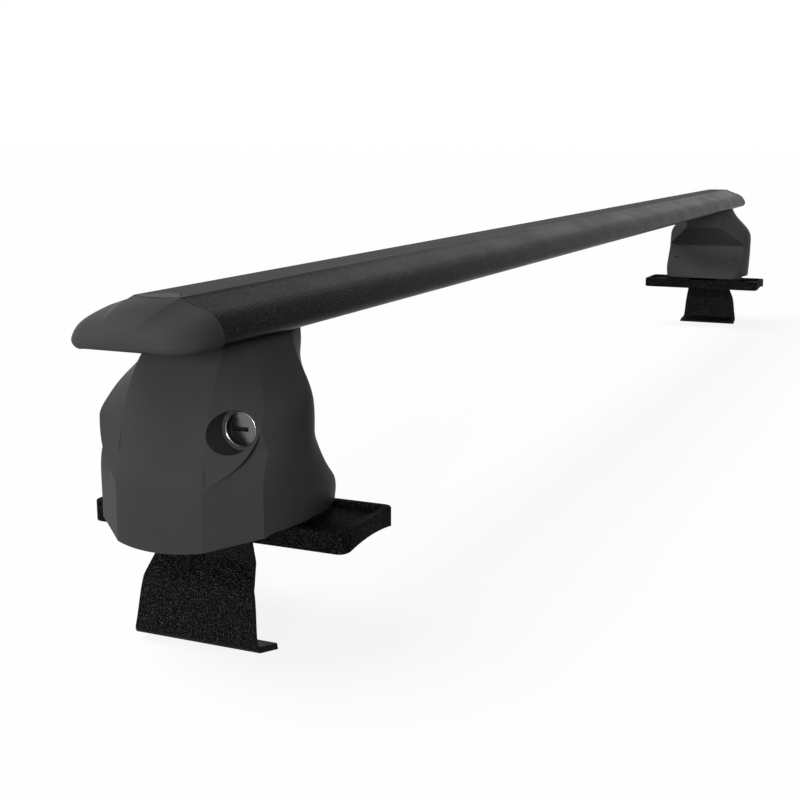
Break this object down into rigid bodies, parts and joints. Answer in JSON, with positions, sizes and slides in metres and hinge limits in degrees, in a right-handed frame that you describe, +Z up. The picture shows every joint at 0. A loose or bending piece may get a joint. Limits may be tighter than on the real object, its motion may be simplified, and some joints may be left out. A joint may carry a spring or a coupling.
{
  "type": "roof rack crossbar",
  "caption": "Aerofoil roof rack crossbar with moulded end caps on two clamp feet, each with a locking cover, a rubber roof pad and a folded steel hook.",
  "frame": {"origin": "on the floor under the two hooks, midway between the feet and on the bar's centre plane", "axes": "+X along the bar, +Y across it (along the car), +Z up"},
  "size_m": [1.4324, 0.15, 0.1816],
  "materials": {
    "bar_coat": "fine-textured black powder coat on aluminium",
    "strip_rubber": "smooth dark grey rubber",
    "cap_plastic": "satin dark grey moulding",
    "foot_plastic": "satin near-black moulding",
    "pad_rubber": "grained black rubber",
    "hook_coat": "coarse-textured black coating on folded steel",
    "plated_steel": "zinc plated",
    "lock_metal": "dark polished metal"
  },
  "bodies": {
    "bar": {"crossbar": "bar_coat", "top_strip": "strip_rubber", "end_cap_far": "cap_plastic", "end_cap_near": "cap_plastic"},
    "foot_far": {"foot_bracket_far": "hook_coat", "rubber_pad_far": "pad_rubber", "rear_housing_far": "foot_plastic", "screw_washer_far": "plated_steel", "t_bolts_far": "plated_steel", "t_bolt_washers_far": "plated_steel", "t_bolt_nuts_far": "plated_steel", "housing_screws_far": "plated_steel"},
    "cover_far": {"outer_cover_far": "foot_plastic", "lock_barrel_far": "lock_metal"},
    "lock_far": {"lock_rotor_far": "lock_metal", "lock_cam_far": "plated_steel"},
    "screw_far": {"tension_screw_far": "plated_steel"},
    "hook_far": {"clamp_hook_far": "hook_coat", "hook_nut_far": "plated_steel"},
    "foot_near": {"foot_bracket_near": "hook_coat", "rubber_pad_near": "pad_rubber", "rear_housing_near": "foot_plastic", "screw_washer_near": "plated_steel", "t_bolts_near": "plated_steel", "t_bolt_washers_near": "plated_steel", "t_bolt_nuts_near": "plated_steel", "housing_screws_near": "plated_steel"},
    "cover_near": {"outer_cover_near": "foot_plastic", "lock_barrel_near": "lock_metal"},
    "lock_near": {"lock_rotor_near": "lock_metal", "lock_cam_near": "plated_steel"},
    "screw_near": {"tension_screw_near": "plated_steel"},
    "hook_near": {"clamp_hook_near": "hook_coat", "hook_nut_near": "plated_steel"}
  },
  "joints": [
    {"name": "foot_slide_far", "type": "slide", "parent": "bar", "child": "foot_far", "axis": [-1, 0, 0], "range_m": [-0.005, 0.15]},
    {"name": "cover_slide_far", "type": "slide", "parent": "foot_far", "child": "cover_far", "axis": [1, 0, 0], "range_m": [0, 0.06]},
    {"name": "lock_turn_far", "type": "hinge", "parent": "cover_far", "child": "lock_far", "pos_m": [0.6556, 0.0336, 0.11857], "axis": [1, 0, 0], "range_deg": [0, 90]},
    {"name": "screw_turn_far", "type": "hinge", "parent": "foot_far", "child": "screw_far", "pos_m": [0.636, 0, 0.12357], "axis": [0, 0, -1], "range_deg": [-1450, 2170]},
    {"name": "hook_slide_far", "type": "slide", "parent": "foot_far", "child": "hook_far", "axis": [0, 0, 1], "range_m": [-0.005, 0.0075]},
    {"name": "foot_slide_near", "type": "slide", "parent": "bar", "child": "foot_near", "axis": [1, 0, 0], "range_m": [-0.005, 0.15]},
    {"name": "cover_slide_near", "type": "slide", "parent": "foot_near", "child": "cover_near", "axis": [-1, 0, 0], "range_m": [0, 0.06]},
    {"name": "lock_turn_near", "type": "hinge", "parent": "cover_near", "child": "lock_near", "pos_m": [-0.6556, -0.0336, 0.11857], "axis": [-1, 0, 0], "range_deg": [0, 90]},
    {"name": "screw_turn_near", "type": "hinge", "parent": "foot_near", "child": "screw_near", "pos_m": [-0.636, 0, 0.12357], "axis": [0, 0, -1], "range_deg": [-1450, 2170]},
    {"name": "hook_slide_near", "type": "slide", "parent": "foot_near", "child": "hook_near", "axis": [0, 0, 1], "range_m": [-0.005, 0.0075]}
  ],
  "couplings": [
    {"joint": "screw_turn_far", "follows": "hook_slide_far", "rad_per_m": 5026.5},
    {"joint": "screw_turn_near", "follows": "hook_slide_near", "rad_per_m": 5026.5}
  ]
}
